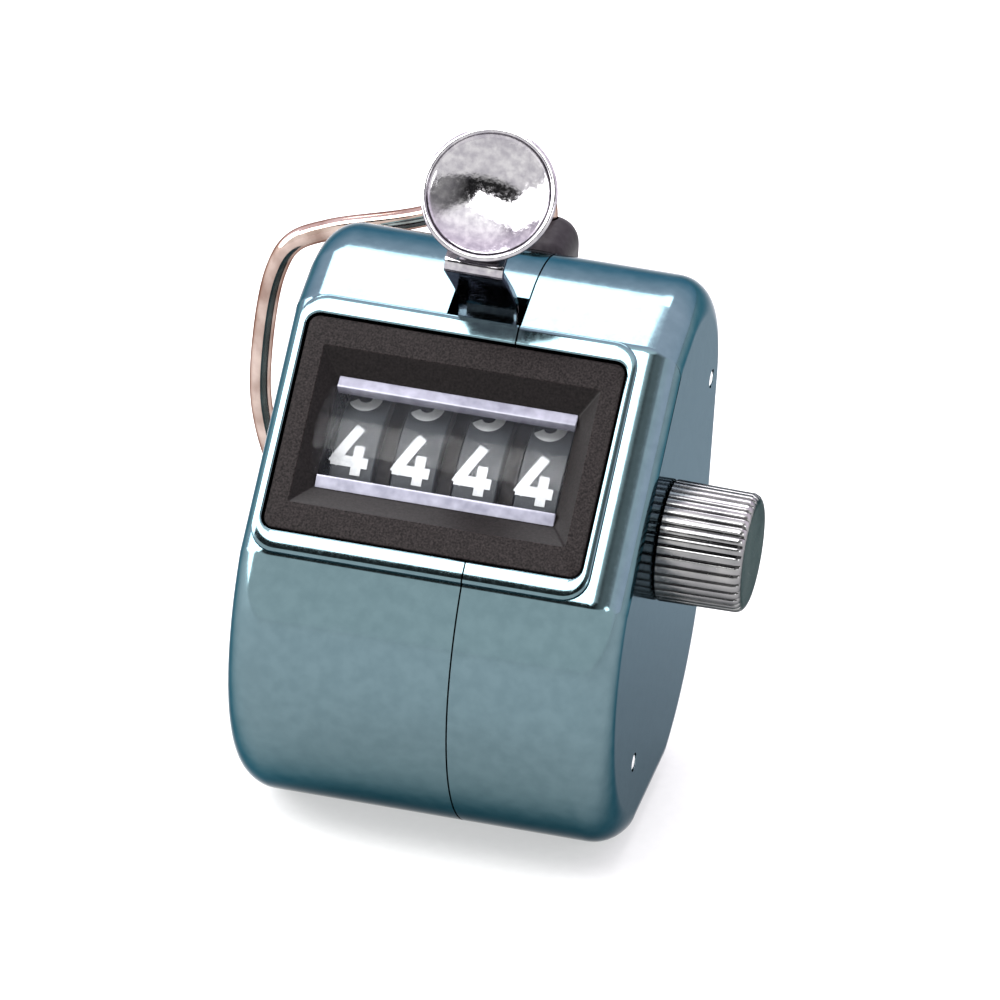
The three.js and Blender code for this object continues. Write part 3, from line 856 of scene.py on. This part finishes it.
def thumb_button(x):
    """A dished disc with a thin rolled edge, facing forwards and up."""
    tilt = math.radians(42)
    centre = np.array([x, -1 * MM, DRUM_Z + 43.75 * MM])
    axis = np.array([0, -math.cos(tilt), math.sin(tilt)])
    side = np.array([1.0, 0, 0])
    up = np.cross(axis, side)
    dish = [(5.95 * MM * i / 16, (-0.75 + 1.75 * (i / 16) ** 2) * MM) for i in range(17)]
    roll_centre, roll = (6.25 * MM, 0.98 * MM), 0.34 * MM
    edge = [polar(roll_centre, roll, math.radians(a)) for a in range(140, -81, -20)]
    back = [(5.9 * MM * i / 10, (-1.3 + 1.6 * (i / 10) ** 2) * MM) for i in range(10, -1, -1)]
    rings = []
    for radius, height in dish + [tuple(p) for p in edge] + back:
        rings.append([
            centre + axis * height + radius * (math.cos(a) * side + math.sin(a) * up)
            for a in (TURN * k / 72 for k in range(72))
        ])
    button = loft("thumb_button_dished", rings, lever_chrome, sharp=60)
    settle(button, "lever", "lever_chrome", "thumb_button")


def knurl_ring(x, radius, depth, ridges=36):
    """A ring of rounded ridges with narrow grooves between them."""
    ring = []
    shape = ((-0.5, 1.0), (-0.42, 0.75), (-0.34, 0.2), (-0.2, 0.0), (0.2, 0.0), (0.34, 0.2), (0.42, 0.75))
    for i in range(ridges):
        for share, sink in shape:
            y, z = polar(WHEEL_AXIS, radius - depth * sink, TURN * (i + share) / ridges)
            ring.append((x, y, z))
    return ring


def reset_knob():
    start, end = span("reset_knob", 0)
    start -= 0.2 * MM
    stations = ((start, 5.7, 0.2), (start + 0.12 * MM, 5.9, 0.42),
                (end - 0.75 * MM, 5.78, 0.42), (end - 0.35 * MM, 5.62, 0.3), (end - 0.15 * MM, 5.4, 0.08),
                (end - 0.04 * MM, 5.15, 0.0), (end, 4.85, 0.0))
    rings = [knurl_ring(x, r * MM, depth * MM) for x, r, depth in stations]
    knob = flatten_normals(loft("reset_knob_knurled", rings, knob_nickel, sharp=40), 40)
    settle(knob, "reset", "knob_nickel", "reset_knob")


def finger_ring():
    px, py = RING_PIVOT
    start = px / MM
    line = [
        (start, 22.5), (start, 29.4), (start - 0.5, 30.5), (start - 1.8, 30.8), (-12.7, 25.8),
        (-21.3, 22.9), (-24.7, 20.9), (-26.3, 17.5), (-27.3, 8.7), (-27, 2),
        (-24.9, -4.5), (-20.8, -10), (-14.8, -13.6),
        (-7, -15), (start - 2, -15), (start - 0.5, -14.6), (start, -13.4), (start, -9.5),
    ]
    path = smooth_line([(x * MM, py, DRUM_Z + z * MM) for x, z in line], 12)
    ring = sweep("finger_ring_wire", path, 1.05 * MM, ring_nickel, 24)
    settle(ring, "ring", "ring_nickel", "finger_ring")


def ring_lugs():
    px, py = RING_PIVOT
    for name in ("ring_lug_upper", "ring_lug_lower"):
        low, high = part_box(name)
        front = 17 * MM if name.endswith("upper") else 15 * MM
        lug = box_object(name + "_moulded", (low.x, front, low.z), tuple(high), lug_plastic)
        bevel(lug, 2.6 * MM, 8)
        if name.endswith("upper"):
            levels = (low.z + 1.6 * MM, high.z + MM)
        else:
            levels = (low.z - MM, high.z - 1.6 * MM)
        bore = 1.3 * MM
        angles = [TURN * k / 32 for k in range(32)]
        rings = [[(px + bore * math.cos(a), py + bore * math.sin(a), z) for a in angles] for z in levels]
        hole = loft("bore", rings, None)
        cut(lug, case_block("body", -0.3 * MM), hole)
        flatten_normals(lug)
        settle(lug, "case", "lug_plastic", name)


def return_spring():
    """A coil of wire round the lever's pivot pin."""
    low, high = span("lever_return_spring", 0)
    wire = 0.28 * MM
    turns = 5
    coil = 1.55 * MM
    points = []
    for i in range(turns * 24 + 1):
        y, z = polar(LEVER_PIVOT, coil, TURN * i / 24)
        points.append((low + wire + (high - low - 2 * wire) * i / (turns * 24), y, z))
    spring = sweep("lever_return_coil", points, wire, steel, 10)
    settle(spring, "case", "steel_parts", "lever_return_spring")


# ---------------------------------------------------------------- stage, light, camera


FLOOR_HALF = 1.3
FLOOR_GLOW = 0.48  # light that the floor gives off by itself, so that it stays pale


def stage():
    """A plain paper floor."""
    corners = [(x * FLOOR_HALF, y * FLOOR_HALF, 0) for x, y in ((-1, -1), (1, -1), (1, 1), (-1, 1))]
    floor = make_object("floor", corners, [(0, 1, 2, 3)], None)
    dark, light = (0.31, 0.31, 0.31), (0.33, 0.33, 0.33)
    material, tree, shader = principled("floor_paper", light, 0.0, 0.9)
    fibres = noise(tree, 900, 2)
    tree.links.new(ramp(tree, fibres, dark, light), shader.inputs["Base Color"])
    shader.inputs["Emission Color"].default_value = (1, 1, 1, 1)
    shader.inputs["Emission Strength"].default_value = FLOOR_GLOW
    floor.data.materials.append(material)


def softbox(name, place, target, size, strength, color=(1, 1, 1)):
    """A rectangular light; strength is the brightness of its face."""
    light = bpy.data.lights.new(name, "AREA")
    light.shape = "RECTANGLE"
    light.size, light.size_y = size
    light.energy = strength * math.pi * size[0] * size[1]
    light.color = color
    obj = bpy.data.objects.new(name, light)
    obj.location = place
    direction = Vector(target) - Vector(place)
    obj.rotation_euler = direction.to_track_quat("-Z", "Y").to_euler()
    bpy.context.scene.collection.objects.link(obj)


# brightness of the room in front, by the height of a direction's tip on a unit sphere
ROOM_STOPS = ((0.0, 1.95), (0.5, 1.95), (0.57, 0.04), (0.84, 0.03), (0.92, 3.0))
ROOM_BACK = (2.2, 2.0, 2.3)
ROOM_SIDES = 0.6  # lowest brightness of the room far to the left and right


def surroundings():
    """A pale room. In front, a dark band crosses it from about 35 to 57 degrees up."""
    world = bpy.data.worlds.new("studio")
    bpy.context.scene.world = world
    world.use_nodes = True
    tree = world.node_tree
    place = tree.nodes.new("ShaderNodeTexCoord")
    split = tree.nodes.new("ShaderNodeSeparateXYZ")
    tree.links.new(place.outputs["Generated"], split.inputs["Vector"])
    height = tree.nodes.new("ShaderNodeValToRGB")
    ramp_stops(height.color_ramp, ROOM_STOPS)
    tree.links.new(split.outputs["Z"], height.inputs["Fac"])
    aside = math_node(tree, "ABSOLUTE", math_node(tree, "ADD", split.outputs["X"], 0.2))
    sides = ramp(tree, aside, 0.0, ROOM_SIDES, 0.45, 0.75)
    level = math_node(tree, "MAXIMUM", height.outputs["Color"], sides)
    front = ramp(tree, split.outputs["Y"], 1.0, 0.0, -0.2, 0.25)
    room = blend_colors(tree, front, ROOM_BACK, level)
    background = tree.nodes["Background"]
    tree.links.new(room, background.inputs["Color"])
    background.inputs["Strength"].default_value = 1.0


def ramp_stops(color_ramp, stops):
    """Gives a ramp grey stops, each a position and a level."""
    while len(color_ramp.elements) < len(stops):
        color_ramp.elements.new(0.5)
    for element, (position, level) in zip(color_ramp.elements, stops):
        element.position = position
        element.color = (level, level, level, 1)


def lights():
    """Soft lights: place, target, width and height, brightness."""
    softbox("front_overhead", (-0.36, -0.45, 1.06), (-0.16, 0, 0.04), (1.1, 0.4), 12.0)
    softbox("back_overhead", (-0.22, 0.74, 0.96), (0, 0, 0.04), (1.0, 0.5), 9.5)
    softbox("key", (-1.05, -0.35, 1.0), (0, 0, 0.03), (0.75, 0.75), 13.0)
    softbox("left", (-0.9, -0.05, 0.3), (0, 0, 0.03), (0.7, 0.55), 9.0)
    softbox("right", (1.15, -0.5, 0.7), (0, 0, 0.03), (0.35, 0.35), 8.0)


CAMERA_DISTANCE = 1.5
SENSOR_WIDTH = 36  # millimetres
VIEW_WIDTH = 95.92 * MM  # what the picture spans at the aim point


def camera():
    """The camera looks at the case from its front right, from above, a little rolled."""
    towards = Vector((0.1824, -0.8456, 0.5017)).normalized()
    up = Vector((-0.1624, 0.4773, 0.8636))
    right = up.cross(towards).normalized()
    up = towards.cross(right)
    aim = Vector((2.361, 0.724, 30.875)) * MM
    turn = Matrix((right, up, towards)).transposed().to_4x4()
    data = bpy.data.cameras.new("camera")
    data.sensor_width = SENSOR_WIDTH
    data.lens = SENSOR_WIDTH * CAMERA_DISTANCE / VIEW_WIDTH
    data.clip_end = 50
    obj = bpy.data.objects.new("camera", data)
    obj.matrix_world = Matrix.Translation(aim + towards * CAMERA_DISTANCE) @ turn
    bpy.context.scene.collection.objects.link(obj)
    bpy.context.scene.camera = obj


# ---------------------------------------------------------------- assembly

CAD_FINISHES = {
    "wheel_shaft": steel, "pinion_shaft": steel, "ratchet_wheel": brass, "click_spring": steel,
    "frame_plate": steel, "frame_pillar": steel, "frame_screw": steel, "lever_pivot_pin": steel,
    "pawl_pin": steel, "drive_pawl": brass, "knob_bush": brass, "transfer_pinion": brass,
}


def finish_cad_nodes():
    """Gives the inner pieces that stay as the CAD made them their metal."""
    for name, node in frame["nodes"].items():
        for start, material in CAD_FINISHES.items():
            if name.startswith(start):
                node.data.materials.clear()
                node.data.materials.append(material)


case_shells()
case_pins()
window_bezel()
window_lens()
number_wheels()
thumb_lever()
reset_knob()
finger_ring()
ring_lugs()
return_spring()
finish_cad_nodes()
stage()
surroundings()
lights()
camera()
bpy.context.scene.view_settings.view_transform = "Standard"
